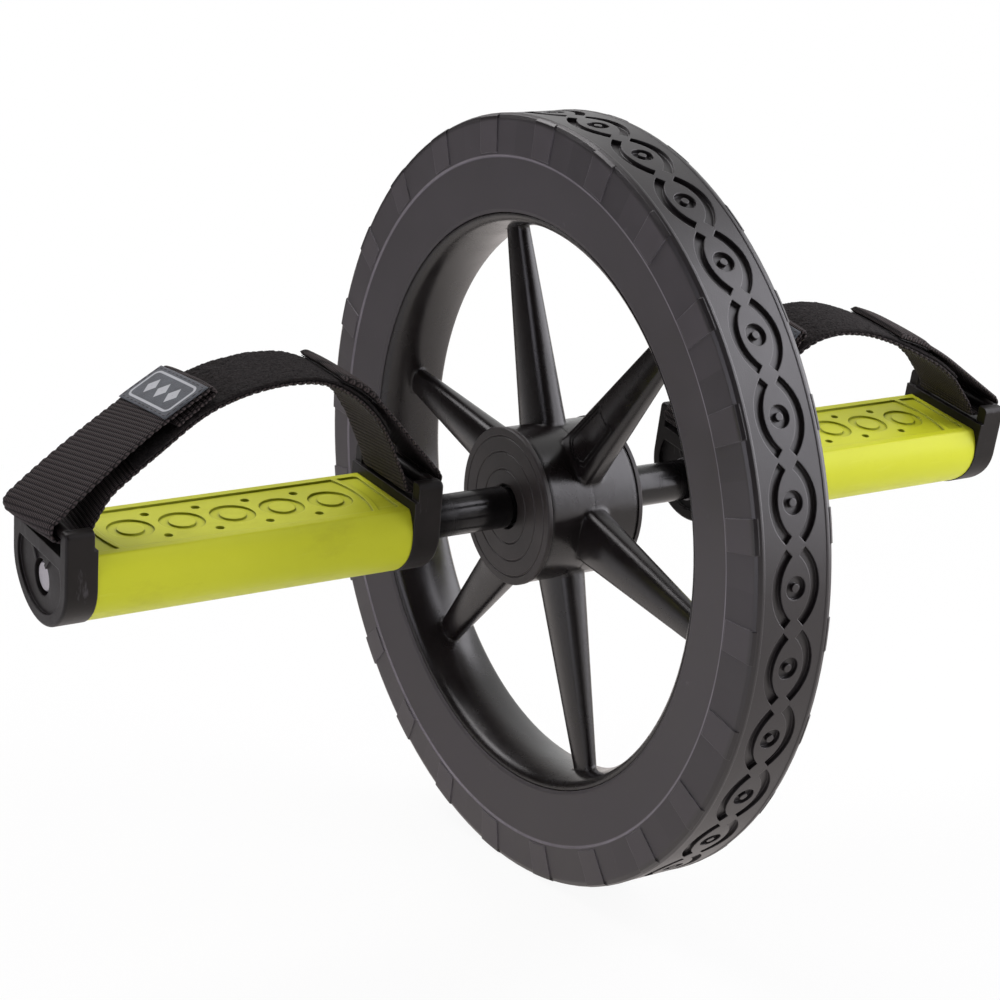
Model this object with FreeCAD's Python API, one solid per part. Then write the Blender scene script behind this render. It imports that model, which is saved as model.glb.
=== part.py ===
import FreeCAD, Part
import math
import os

# Ab wheel roller: spoked wheel on an axle with two strapped pedals.
# Millimetres, +Z up, axle along Y, origin at the wheel centre.

V = FreeCAD.Vector
ORIGIN = V(0, 0, 0)
AXLE = V(0, 1, 0)

# Wheel
wheel_radius = 170.0
tread_width = 37.4
tyre_height = 42.3
sidewall_bulge = 1.4
sidewall_line = 18.2
sidewall_step = 0.5
bead_inset = 1.9
bead_round = 1.5
shoulder_round = 2.4
edge_rib = 1.0
crown_drop = 0.2
tread_bays = 32
groove_width = 4.2
groove_depth = 2.0
lens_height = 9.4
lens_share = 0.8
eye_radius = 4.7
eye_core = 1.7
block_count = 24
block_share = 0.32
block_rise = 0.35
block_foot = 1.5
rim_lip = 3.7
rim_wall = 4.5
rim_edge_round = 0.8
band_share = 0.57
key_depth = 2.2
hub_radius = 34.5
hub_width = 45.0
hub_wall = 4.0
hub_web = 7.2
hub_seam = 0.25
boss_wall = 4.5
cap_thickness = 2.2
cap_overhang = 0.5
cap_groove = 0.5
cap_rings = (0.47, 0.69, 0.89)
cap_lip = 2.0
spoke_count = 6
spoke_angle = 43.4
spoke_hub_width = 25.0
spoke_hub_depth = 13.0
spoke_hub_round = 4.6
spoke_rim_width = 12.6
spoke_rim_depth = 6.2
spoke_rim_round = 2.8
spoke_sink = 1.6
bush_wall = 3.5
flange_width = 3.0
flange_height = 2.0
flange_recess = 1.6

# Axle and its loose pieces
axle_radius = 6.35
axle_chamfer = 0.8
tube_radius = 9.25
tube_chamfer = 0.8
neck_step = 1.2
pedal_gap = 49.2
washer_thickness = 1.0
washer_edge = 0.6
ring_thickness = 1.0
ring_height = 0.95
ring_opening = 3.6
ring_groove = 0.8
ring_inset = 3.0
axle_recess = 2.4

# Pedals
left_tilt = 8.6
right_tilt = 12.9
pad_length = 139.7
pad_half_width = 27.0
pad_top = 15.8
pad_bottom = 18.7
pad_side_radius = 19.0
pad_side_height = 4.0
pad_wall = 4.0
pad_edge_round = 1.6
cap_depth = 13.2
cap_edge_round = 1.2
cap_margin = 0.4
cap_wall = 4.6
recess_depth = 1.4
rib_thickness = 1.8
rib_rise = 0.8
rib_angle = 38.0
well_margin = 1.25
spigot_length = 7.0
post_rise = 12.0
post_width = 5.4
post_setback = 1.5
post_round = 2.5
deck_rise = 1.2
lip_rise = 4.2
lip_thickness = 2.7
bar_radius = 2.7
core_rib = 3.2
core_plate = 14.0
core_tube_wall = 5.0
pedal_bush_wall = 2.0
pedal_bush_length = 12.0

# Anti-slip pattern on the pads
panel_border = 4.0
panel_end = 2.5
panel_depth = 0.8
panel_round = 2.0
pit_count = 5
pit_pitch = 22.4
pit_radius = 9.5
pit_depth = 0.8
button_radius = 5.5
dot_radius = 1.8
dot_depth = 1.2
dot_offset = 11.7
ridge_radius = 58.0
ridge_width = 2.4
ridge_inset = 9.2

# Straps
strap_width = 38.0
strap_thickness = 2.0
pile_thickness = 1.6
hook_thickness = 1.2
label_thickness = 0.8
label_length = 21.0
hem_length = 20.0
hem_step = 2.7
hem_radius = 1.25
hook_length = 20.0
tape_margin = 1.0
arch_height = 51.0
fold_reach = 7.5
fold_radius = 4.0
slot_radius = 2.2
slot_offset = -1.6
bend_share = 0.48
left_label_foot = 35.8
left_label_tip = 3.5
right_label_foot = 24.4
right_label_tip = 8.7

# Clearances
run_fit = 0.05
seat_fit = 0.1
free_gap = 0.35
sewn_gap = 0.02
end_play = 0.12


def revolve(profile, angle=360):
    points = [V(r, y, 0) for r, y in profile]
    face = Part.Face(Part.makePolygon(points + points[:1]))
    return face.revolve(ORIGIN, AXLE, angle)


def mirrored(half):
    return half + [(r, -y) for r, y in reversed(half) if y > 0]


def ring(inner, outer, y0, y1):
    return revolve([(inner, y0), (outer, y0), (outer, y1), (inner, y1)])


def rod(radius, y0, y1, x=0, z=0):
    return Part.makeCylinder(radius, y1 - y0, V(x, y0, z), AXLE)


def box(x0, x1, y0, y1, z0, z1):
    return Part.makeBox(x1 - x0, y1 - y0, z1 - z0, V(x0, y0, z0))


def flipped(shape):
    return shape.mirror(ORIGIN, AXLE)


def arc(centre, radius, a0, a1, y):
    points = []
    for angle in (a0, (a0 + a1) / 2, a1):
        c = radius * math.cos(angle)
        s = radius * math.sin(angle)
        points.append(V(centre[0] + c, y, centre[1] + s))
    return Part.Arc(*points).toShape()


def line(p, q, y):
    return Part.makeLine(V(p[0], y, p[1]), V(q[0], y, q[1]))


def prism(edges, length):
    face = Part.Face(Part.Wire(Part.__sortEdges__(edges)))
    return face.extrude(V(0, length, 0))


def edges_at(shape, test):
    return [e for e in shape.Edges if all(test(v.Point) for v in e.Vertexes)]


# Wheel values shared by the tyre, the rim and the hub
tread_half = tread_width / 2
bulge_half = tread_half + sidewall_bulge
rib_half = tread_half - shoulder_round - edge_rib
bead_half = tread_half - bead_inset
bead_radius = wheel_radius - tyre_height
line_radius = wheel_radius - sidewall_line
rim_edge = bead_radius - rim_lip
rim_edge_half = bead_half - bead_inset
seat_radius = bead_radius - key_depth
band_radius = seat_radius - rim_wall
band_half = rim_edge_half * band_share
hub_half = hub_width / 2
hub_bore = hub_radius - hub_wall
cap_face = hub_half + cap_thickness
bush_radius = axle_radius + bush_wall
boss_radius = bush_radius + boss_wall
flange_radius = bush_radius + flange_width
flange_face = hub_half - flange_recess
flange_seat = flange_face - flange_height


def tread_slot(shape):
    # Keeps of a radial cutter only what lies within the groove's depth
    skin = ring(wheel_radius - groove_depth, wheel_radius + groove_depth, -bulge_half, bulge_half)
    return shape.common(skin)


def make_tread():
    # Chain of bays, each two bowed grooves round a ring
    chord = 2 * math.pi * wheel_radius / tread_bays
    bend = chord ** 2 / (8 * lens_height) + lens_height / 2
    spread = lens_share * math.degrees(2 * math.atan(2 * lens_height / chord))
    base = wheel_radius - 2 * groove_depth
    height = 4 * groove_depth
    centre = V(0, lens_height - bend, base)
    radial = V(0, 0, 1)
    bow = Part.makeCylinder(bend + groove_width / 2, height, centre, radial, 2 * spread)
    bow = bow.cut(Part.makeCylinder(bend - groove_width / 2, 3 * height, centre - radial * height, radial))
    bow.rotate(centre, radial, 90 - spread)
    eye = Part.makeCylinder(eye_radius, height, V(0, 0, base), radial)
    eye = eye.cut(Part.makeCylinder(eye_core, 3 * height, V(0, 0, base - height), radial))
    bay = [tread_slot(cutter) for cutter in (bow, flipped(bow), eye)]
    cutters = []
    for k in range(tread_bays):
        for cutter in bay:
            turned = cutter.copy()
            turned.rotate(ORIGIN, AXLE, k * 360 / tread_bays)
            cutters.append(turned)
    return cutters


def make_blocks():
    # Low blocks on both sidewalls, from the step line to the tread's edge
    pitch = 360 / block_count
    foot = line_radius + block_foot
    profile = [
        (foot, bulge_half - shoulder_round),
        (foot, bulge_half + block_rise),
        (wheel_radius - shoulder_round / 2, tread_half + block_rise),
        (wheel_radius - crown_drop, tread_half - shoulder_round / 2),
        (wheel_radius - shoulder_round, tread_half - shoulder_round),
    ]
    block = revolve(profile, pitch * block_share)
    blocks = []
    for k in range(block_count):
        turned = block.copy()
        turned.rotate(ORIGIN, AXLE, (k + 0.5 - block_share / 2) * pitch)
        blocks += [turned, flipped(turned)]
    return blocks


def make_tyre():
    corner = shoulder_round * (1 - math.sqrt(0.5))
    half = [
        (seat_radius, 0),
        (seat_radius, band_half),
        (bead_radius, band_half + key_depth),
        (bead_radius, bead_half),
        (bead_radius + bead_round, bead_half + bead_round / 2),
        (line_radius - 2 * sidewall_step, bulge_half - sidewall_step),
        (line_radius, bulge_half - sidewall_step),
        (line_radius + sidewall_step, bulge_half),
        (wheel_radius - shoulder_round, tread_half),
        (wheel_radius - corner, tread_half - corner),
        (wheel_radius, tread_half - shoulder_round),
        (wheel_radius, rib_half),
        (wheel_radius - crown_drop, rib_half - crown_drop),
    ]
    return revolve(mirrored(half)).cut(make_tread()).fuse(make_blocks())


def oval(wide, deep, corner, y):
    # Rounded rectangle of these half sizes, as a closed wire
    a = wide - corner
    b = deep - corner
    edges = []
    for k, (x, z) in enumerate([(a, b), (-a, b), (-a, -b), (a, -b)]):
        edges.append(arc((x, z), corner, k * math.pi / 2, (k + 1) * math.pi / 2, y))
    edges.append(line((a, deep), (-a, deep), y))
    edges.append(line((-wide, b), (-wide, -b), y))
    edges.append(line((-a, -deep), (a, -deep), y))
    edges.append(line((wide, -b), (wide, b), y))
    return Part.Wire(Part.__sortEdges__(edges))


def make_spoke():
    foot = hub_bore + spoke_sink
    tip = band_radius + spoke_sink
    ends = [
        oval(spoke_hub_width / 2, spoke_hub_depth / 2, spoke_hub_round, foot),
        oval(spoke_rim_width / 2, spoke_rim_depth / 2, spoke_rim_round, tip),
    ]
    spoke = Part.makeLoft(ends, True, True)
    spoke.rotate(ORIGIN, V(1, 0, 0), 90)
    return spoke


def make_rim():
    lip_half = rim_edge_half - rim_edge_round / 2
    half = [
        (seat_radius, 0),
        (seat_radius, band_half),
        (bead_radius, band_half + key_depth),
        (bead_radius, bead_half - rim_edge_round),
        (bead_radius - rim_edge_round, bead_half),
        (rim_edge + rim_edge_round, rim_edge_half + rim_edge_round / 2),
        (rim_edge, lip_half),
    ]
    near = V(rim_edge, -lip_half, 0)
    far = V(rim_edge, lip_half, 0)
    crown = Part.Arc(near, V(band_radius, 0, 0), far).toShape()
    band = Part.Face(Part.Wire([crown, Part.makeLine(far, near)]))
    return revolve(mirrored(half)).fuse(band.revolve(ORIGIN, AXLE, 360))


def make_wheel():
    hub = [
        (bush_radius, 0),
        (bush_radius, flange_seat),
        (flange_radius, flange_seat),
        (flange_radius, hub_half - tube_chamfer),
        (boss_radius, hub_half - tube_chamfer),
        (boss_radius, hub_web / 2),
        (hub_bore, hub_web / 2),
        (hub_bore, hub_half),
        (hub_radius, hub_half),
        (hub_radius, hub_seam),
        (hub_radius - hub_seam, 0),
    ]
    spoke = make_spoke()
    spokes = []
    for k in range(spoke_count):
        arm = spoke.copy()
        arm.rotate(ORIGIN, AXLE, 90 - spoke_angle - k * 360 / spoke_count)
        spokes.append(arm)
    body = make_rim().fuse([revolve(mirrored(hub))] + spokes)
    return body.removeSplitter()


def make_hub_cap():
    edge = hub_radius + cap_overhang
    lip = hub_bore - seat_fit
    hole = tube_radius + cap_overhang
    profile = [
        (hole, cap_face - cap_groove),
        (hole + cap_groove, cap_face),
    ]
    for share in cap_rings:
        profile.append((edge * share - cap_groove, cap_face))
        profile.append((edge * share, cap_face - cap_groove))
        profile.append((edge * share + cap_groove, cap_face))
    profile += [
        (edge - cap_groove, cap_face),
        (edge, cap_face - cap_groove),
        (edge, hub_half),
        (lip, hub_half),
        (lip, hub_half - cap_lip),
        (lip - cap_lip, hub_half - cap_lip),
        (lip - cap_lip, hub_half),
        (hole, hub_half),
    ]
    return revolve(profile)


def make_hub_bush():
    bore = axle_radius + run_fit
    start = hub_web / 2 + seat_fit
    profile = [
        (bore, start),
        (bush_radius, start),
        (bush_radius, flange_seat),
        (flange_radius - seat_fit, flange_seat),
        (flange_radius - seat_fit, flange_face),
        (bore, flange_face),
    ]
    return revolve(profile)


# Places along the axle, from the hub out to the axle end
hub_washer = flange_face + end_play
tube_start = hub_washer + washer_thickness
tube_neck = tube_radius - neck_step
neck_end = cap_face + tube_chamfer
inner_face = cap_face + pedal_gap
tube_end = inner_face - end_play - washer_thickness
pedal_centre = inner_face + cap_depth + pad_length / 2
outer_face = pedal_centre + pad_length / 2 + cap_depth
axle_end = outer_face - axle_recess
ring_face = axle_end - ring_inset
ring_seat = ring_face - ring_thickness
well_floor = ring_seat - washer_thickness - end_play
well_radius = axle_radius + well_margin
groove_radius = axle_radius - ring_groove


def make_axle():
    half = [
        (axle_radius, 0),
        (axle_radius, ring_seat - run_fit),
        (groove_radius, ring_seat - run_fit),
        (groove_radius, ring_face + run_fit),
        (axle_radius, ring_face + run_fit),
        (axle_radius, axle_end - axle_chamfer),
        (axle_radius - axle_chamfer, axle_end),
    ]
    return revolve([(0, -axle_end), (0, axle_end)] + list(reversed(mirrored(half))))


def make_tube():
    bore = axle_radius + seat_fit
    profile = [
        (bore, tube_start),
        (tube_neck, tube_start),
        (tube_neck, neck_end),
        (tube_radius - tube_chamfer, neck_end),
        (tube_radius, neck_end + tube_chamfer),
        (tube_radius, tube_end - tube_chamfer),
        (tube_radius - tube_chamfer, tube_end),
        (bore, tube_end),
    ]
    return revolve(profile)


def make_washer(outer, start):
    return ring(axle_radius + seat_fit, outer, start, start + washer_thickness)


def make_ring():
    clip = ring(groove_radius + run_fit, axle_radius + ring_height, ring_seat, ring_face)
    half = ring_opening / 2
    return clip.cut(box(-half, half, ring_seat - 1, ring_face + 1, -2 * axle_radius, 0))


# Pedal section: flat top, bulging sides and a rounder belly, all tangent
side_x = pad_half_width - pad_side_radius
side_drop = pad_side_height + pad_bottom
belly_radius = side_drop ** 2 + side_x ** 2 - pad_side_radius ** 2
belly_radius /= 2 * (side_drop - pad_side_radius)
belly_z = belly_radius - pad_bottom
belly_turn = math.atan2(pad_side_height - belly_z, side_x)
pad_half = pad_length / 2
top_rise = math.asin((pad_top - pad_side_height) / pad_side_radius)
top_corner = side_x + pad_side_radius * math.cos(top_rise)
post_top = pad_top + post_rise
post_x = pad_half_width + cap_margin
gap_half = post_x - post_width
deck = pad_top + deck_rise
lip_top = pad_top + lip_rise
bar_y = pad_half + cap_depth - bar_radius - seat_fit
bar_z = post_top - bar_radius + cap_margin
core_half = pad_half - spigot_length - seat_fit


def belly(grow, y):
    return arc((0, belly_z), belly_radius + grow, belly_turn, -math.pi - belly_turn, y)


def section(grow, y0, y1):
    top = pad_top + grow
    radius = pad_side_radius + grow
    rise = math.asin((top - pad_side_height) / radius)
    corner = side_x + radius * math.cos(rise)
    edges = [
        arc((side_x, pad_side_height), radius, rise, belly_turn, y0),
        belly(grow, y0),
        arc((-side_x, pad_side_height), radius, -math.pi - belly_turn, -math.pi - rise, y0),
        line((-corner, top), (corner, top), y0),
    ]
    return prism(edges, y1 - y0)


def cap_block(y0, y1):
    radius = pad_side_radius + cap_margin
    inner = post_x - post_round
    shoulder = post_top - post_round
    edges = [
        line((post_x, pad_side_height), (post_x, shoulder), y0),
        arc((inner, shoulder), post_round, 0, math.pi / 2, y0),
        line((inner, post_top), (-inner, post_top), y0),
        arc((-inner, shoulder), post_round, math.pi / 2, math.pi, y0),
        line((-post_x, shoulder), (-post_x, pad_side_height), y0),
        arc((-side_x, pad_side_height), radius, -math.pi, -math.pi - belly_turn, y0),
        belly(cap_margin, y0),
        arc((side_x, pad_side_height), radius, belly_turn, 0, y0),
    ]
    block = prism(edges, y1 - y0)
    return block.makeFillet(cap_edge_round, edges_at(block, lambda p: abs(p.y - y1) < 1e-6))


def make_cap(outer):
    face = pad_half + cap_depth
    slot = pad_half + lip_thickness
    back = pad_half + post_setback
    floor = face - recess_depth
    body = cap_block(pad_half, face)
    body = body.cut(box(-gap_half, gap_half, slot, face + 1, deck, post_top + 1))
    body = body.cut(box(-gap_half, gap_half, pad_half - 1, slot, lip_top, post_top + 1))
    body = body.cut(box(-post_x - 1, post_x + 1, pad_half - 1, back, lip_top, post_top + 1))
    bar = Part.makeCylinder(bar_radius, 2 * gap_half + 2, V(-gap_half - 1, bar_y, bar_z), V(1, 0, 0))
    spigot = section(-pad_wall - seat_fit, core_half + seat_fit, pad_half)
    hollow = section(-cap_wall, floor, face + 1)
    for turn in (rib_angle, -rib_angle):
        half = rib_thickness / 2
        rib = box(-half, half, floor - 1, floor + rib_rise, 0, pad_half_width)
        rib.rotate(ORIGIN, AXLE, turn)
        hollow = hollow.cut(rib)
    body = body.fuse([bar, spigot]).cut(hollow)
    body = body.cut(rod(axle_radius + free_gap, 0, face + 1))
    if outer:
        body = body.cut(rod(well_radius, well_floor - pedal_centre, face + 1))
    return body.removeSplitter()


def disc(radius, y, z0, z1, x=0):
    return Part.makeCylinder(radius, z1 - z0, V(x, y, z0))


def pad_panel():
    # Sunken panel with a curved ridge left standing at each end,
    # deeper round pits that leave a button in the middle, and small dots between them
    floor = pad_top - panel_depth
    lid = pad_top + 1
    half_x = top_corner - panel_border
    half_y = pad_half - panel_end
    panel = box(-half_x, half_x, -half_y, half_y, floor, lid)
    panel = panel.makeFillet(panel_round, [e for e in panel.Edges if e.Vertexes[0].Z != e.Vertexes[-1].Z])
    centre = pad_half - ridge_inset - ridge_radius
    ridge = disc(ridge_radius, centre, floor - 1, lid + 1)
    ridge = ridge.cut(disc(ridge_radius - ridge_width, centre, floor - 2, lid + 2))
    ridge = ridge.common(box(-half_x - 1, half_x + 1, 0, pad_half, floor - 1, lid + 1))
    panel = panel.cut([ridge, flipped(ridge)])
    first = -(pit_count - 1) / 2 * pit_pitch
    pits = []
    for k in range(pit_count):
        y = first + k * pit_pitch
        pit = disc(pit_radius, y, floor - pit_depth, lid)
        pits.append(pit.cut(disc(button_radius, y, floor - 2 * pit_depth, lid + 1)))
    for k in range(pit_count - 1):
        for x in (-dot_offset, dot_offset):
            y = first + (k + 0.5) * pit_pitch
            pits.append(disc(dot_radius, y, floor - dot_depth, lid, x))
    return panel.fuse(pits)


def make_pad():
    pad = section(0, -pad_half, pad_half)
    top_edges = edges_at(pad, lambda p: p.z > pad_top - 1e-6)
    pad = pad.makeFillet(pad_edge_round, [e for e in top_edges if e.Length > pad_half])
    pad = pad.cut(section(-pad_wall, -pad_half - 1, pad_half + 1))
    return pad.cut(pad_panel())


def make_core():
    grow = -pad_wall - seat_fit
    half = core_rib / 2
    bush_seat = axle_radius + pedal_bush_wall
    ribs = box(-half, half, -core_half, core_half, -pad_bottom, pad_top)
    ribs = ribs.fuse(box(-pad_half_width, pad_half_width, -core_half, core_half, -half, half))
    core = section(grow, -core_half, core_half).common(ribs)
    core = core.fuse(section(grow, -core_half, core_plate - core_half))
    core = core.fuse(section(grow, core_half - core_plate, core_half))
    core = core.fuse(rod(axle_radius + core_tube_wall, -core_half, core_half))
    core = core.cut(rod(axle_radius + pedal_bush_wall / 2, -core_half - 1, core_half + 1))
    core = core.cut(rod(bush_seat, core_half - pedal_bush_length, core_half + 1))
    core = core.cut(rod(bush_seat, -core_half - 1, pedal_bush_length - core_half))
    return core.removeSplitter()


def make_bush():
    bore = axle_radius + run_fit
    return ring(bore, axle_radius + pedal_bush_wall, core_half - pedal_bush_length, core_half)


# Strap path in the pedal's own plane: y along the axle, z up
fold_floor = bar_z - bar_radius - seat_fit - strap_thickness / 2
fold_y = bar_y + fold_reach - fold_radius - strap_thickness / 2
slot_y = pad_half + lip_thickness + slot_offset
label_stack = hem_step + strap_thickness + pile_thickness + seat_fit
tail_stack = strap_thickness + pile_thickness + hook_thickness + 2 * seat_fit


def at(share, rise):
    return (share * bar_y, bar_z + rise * arch_height)


def fold_corner(side, point):
    centre = (side * fold_y, fold_floor + fold_radius)
    dy = side * (centre[0] - point[0])
    dz = centre[1] - point[1]
    turn = math.atan2(dz, dy) + math.asin(fold_radius / math.hypot(dy, dz))
    return (point[0] + side * (fold_floor - point[1]) / math.tan(turn), fold_floor)


def moved(point, along, reach, drop):
    # Goes along a direction, then square to it
    y = point[0] + along[0] * reach - along[1] * drop
    return (y, point[1] + along[1] * reach + along[0] * drop)


def outside(points, k, gap):
    # Corner k of a line of points when the whole line moves out by a gap
    a = unit(points[k - 1], points[k])
    b = unit(points[k], points[k + 1])
    turn = math.atan2(a[0] * b[1] - a[1] * b[0], a[0] * b[0] + a[1] * b[1])
    return moved(points[k], a, -gap * math.tan(turn / 2), gap)


def strap_path(feet, label_end, label_run, crown, tail_share):
    # From the hem under the label, round both bars and back up to the tail.
    # The layer under the label runs beside it, and the tail beside the crown.
    end = at(*label_end)
    left = fold_corner(-1, end)
    down = unit(end, left)
    arch = [at(*p) for p in feet]
    arch += [moved(end, down, reach, label_stack) for reach in label_run]
    arch += [at(*p) for p in crown]
    tail = [outside(arch, k, tail_stack) for k in (-4, -5, -6)]
    tip = unit(tail[1], tail[2])
    tail[2] = moved(tail[1], tip, tail_share * math.dist(tail[1], tail[2]), 0)
    turned = moved(end, down, 0, hem_step)
    path = [(moved(turned, down, hem_length, 0), 0)]
    path += [(turned, hem_radius), (end, hem_radius), (left, fold_radius)]
    path += [((-slot_y, fold_floor), slot_radius)]
    path += [(p, None) for p in arch]
    path += [((slot_y, fold_floor), slot_radius), (fold_corner(1, tail[0]), fold_radius)]
    path += [(p, None) for p in tail]
    return rounded(path)


def unit(p, q):
    length = math.hypot(q[0] - p[0], q[1] - p[1])
    return ((q[0] - p[0]) / length, (q[1] - p[1]) / length)


def rounded(path):
    # Straight runs and tangent arcs, each a list of point and normal triples
    runs = []
    last = path[0][0]
    for k in range(1, len(path) - 1):
        corner, radius = path[k]
        a = unit(path[k - 1][0], corner)
        b = unit(corner, path[k + 1][0])
        turn = math.atan2(a[0] * b[1] - a[1] * b[0], a[0] * b[0] + a[1] * b[1])
        if radius is None:
            shorter = min(math.dist(path[k - 1][0], corner), math.dist(corner, path[k + 1][0]))
            radius = bend_share * shorter / abs(math.tan(turn / 2))
        reach = abs(radius * math.tan(turn / 2))
        start = (corner[0] - a[0] * reach, corner[1] - a[1] * reach)
        sign = math.copysign(1, turn)
        centre = (start[0] - a[1] * radius * sign, start[1] + a[0] * radius * sign)
        runs.append(straight(last, start))
        samples = []
        for share in (0, 0.5, 1):
            c = math.cos(turn * share)
            s = math.sin(turn * share)
            normal = (-a[1] * c - a[0] * s, a[0] * c - a[1] * s)
            point = (centre[0] - normal[0] * radius * sign, centre[1] - normal[1] * radius * sign)
            samples.append((point, normal))
        runs.append((samples, radius * abs(turn)))
        last = samples[2][0]
    runs.append(straight(last, path[-1][0]))
    return runs


def straight(p, q):
    a = unit(p, q)
    normal = (-a[1], a[0])
    middle = ((p[0] + q[0]) / 2, (p[1] + q[1]) / 2)
    return ([(p, normal), (middle, normal), (q, normal)], math.dist(p, q))


def between(run, t):
    # Point and normal at a share of one run
    (p, n), _, (q, m) = run[0]
    turn = math.atan2(n[0] * m[1] - n[1] * m[0], n[0] * m[0] + n[1] * m[1])
    if abs(turn) < 1e-9:
        return ((p[0] + (q[0] - p[0]) * t, p[1] + (q[1] - p[1]) * t), n)
    c = math.cos(turn * t)
    s = math.sin(turn * t)
    normal = (n[0] * c - n[1] * s, n[0] * s + n[1] * c)
    radius = run[1] / turn
    centre = (p[0] + n[0] * radius, p[1] + n[1] * radius)
    return ((centre[0] - normal[0] * radius, centre[1] - normal[1] * radius), normal)


def trimmed(runs, start, end):
    kept = []
    done = 0
    for run in runs:
        t0 = max(0, (start - done) / run[1])
        t1 = min(1, (end - done) / run[1])
        done += run[1]
        if t1 - t0 > 1e-6:
            kept.append(([between(run, t0), between(run, (t0 + t1) / 2), between(run, t1)], 0))
    return kept


def offset_edges(runs, offset, x):
    edges = []
    for samples, _ in runs:
        p, m, q = [V(x, c[0] + n[0] * offset, c[1] + n[1] * offset) for c, n in samples]
        if (m - p).cross(q - p).Length < 1e-6 * (q - p).Length:
            edges.append(Part.makeLine(p, q))
        else:
            edges.append(Part.Arc(p, m, q).toShape())
    return edges


def ribbon(runs, low, high, width):
    x = -width / 2
    under = offset_edges(runs, low, x)
    over = offset_edges(runs, high, x)
    first = Part.makeLine(under[0].Vertexes[0].Point, over[0].Vertexes[0].Point)
    last = Part.makeLine(under[-1].Vertexes[-1].Point, over[-1].Vertexes[-1].Point)
    wire = Part.Wire(Part.__sortEdges__(under + [last] + over + [first]))
    return Part.Face(wire).extrude(V(width, 0, 0))


def reach_to(runs, corner):
    # Length of the path up to the middle of one of its rounded corners
    k = 2 * corner - 1
    return sum(run[1] for run in runs[:k]) + runs[k][1] / 2


def make_straps(feet, label_end, label_run, crown, tail_share):
    runs = strap_path(feet, label_end, label_run, crown, tail_share)
    total = sum(run[1] for run in runs)
    arch_start = 5 + len(feet)
    arch_end = arch_start + len(label_run) + len(crown) - 1
    skin = strap_thickness / 2
    base = skin + sewn_gap
    label_start = reach_to(runs, 2) + hem_step / 2
    pile = trimmed(runs, reach_to(runs, arch_start), reach_to(runs, arch_end - 2))
    hook = trimmed(runs, total - tape_margin - hook_length, total - tape_margin)
    label = trimmed(runs, label_start, label_start + label_length)
    width = strap_width - tape_margin
    return {
        "strap": ribbon(runs, -skin, skin, strap_width),
        "loop_tape": ribbon(pile, base, base + pile_thickness, width),
        "hook_tape": ribbon(hook, base, base + hook_thickness, width),
        "label": ribbon(label, -base - label_thickness, -base, width),
    }


def place_pedal(shapes, side, tilt):
    for node, shape in shapes.items():
        shape.rotate(ORIGIN, AXLE, tilt)
        shape.translate(V(0, side * pedal_centre, 0))
        nodes[node] = shape


# Places on each strap as shares of the bars' distance and of the arch's height
left_strap = {
    "feet": [(-0.826, 0.088), (-0.770, 0.240)],
    "label_end": (-0.310, 0.939),
    "label_run": (left_label_foot, left_label_tip),
    "crown": [
        (-0.099, 0.920), (0.124, 0.980), (0.323, 0.968),
        (0.447, 0.904), (0.571, 0.776), (0.670, 0.624),
        (0.745, 0.447), (0.801, 0.245), (0.857, 0.059),
    ],
    "tail_share": 1.0,
}
right_strap = {
    "feet": [(-0.826, 0.088), (-0.782, 0.284)],
    "label_end": (-0.559, 1.000),
    "label_run": (right_label_foot, right_label_tip),
    "crown": [
        (-0.435, 0.900), (-0.273, 0.935), (-0.074, 0.896),
        (0.112, 0.800), (0.298, 0.676), (0.534, 0.496),
        (0.689, 0.324), (0.782, 0.157), (0.857, 0.029),
    ],
    "tail_share": 0.735,
}

nodes = {"tyre": make_tyre(), "spoked_wheel": make_wheel(), "axle_rod": make_axle()}
for side, name in ((-1, "left"), (1, "right")):
    pieces = {
        "hub_cap": make_hub_cap(),
        "hub_bush": make_hub_bush(),
        "hub_washer": make_washer(tube_neck, hub_washer),
        "spacer_tube": make_tube(),
        "inner_washer": make_washer(tube_radius + washer_edge, tube_end),
        "outer_washer": make_washer(well_radius - free_gap, ring_seat - washer_thickness),
        "retaining_ring": make_ring(),
    }
    for piece, shape in pieces.items():
        nodes[name + "_" + piece] = shape if side > 0 else flipped(shape)

for side, name, tilt, strap in (
    (-1, "left", left_tilt, left_strap),
    (1, "right", right_tilt, right_strap),
):
    outer = make_cap(True)
    inner = make_cap(False)
    bush = make_bush()
    pedal = {
        "core": make_core(),
        "pad": make_pad(),
        "outer_cap": outer if side > 0 else flipped(outer),
        "inner_cap": flipped(inner) if side > 0 else inner,
        "outer_bush": bush if side > 0 else flipped(bush),
        "inner_bush": flipped(bush) if side > 0 else bush,
    }
    pedal.update(make_straps(**strap))
    place_pedal({name + "_" + piece: shape for piece, shape in pedal.items()}, side, tilt)

os.makedirs("parts", exist_ok=True)
for node, shape in nodes.items():
    shape.exportStep("parts/" + node + ".step")
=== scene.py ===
import bpy
import cmath
import math
import numpy as np
from mathutils import Matrix, Vector


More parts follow.
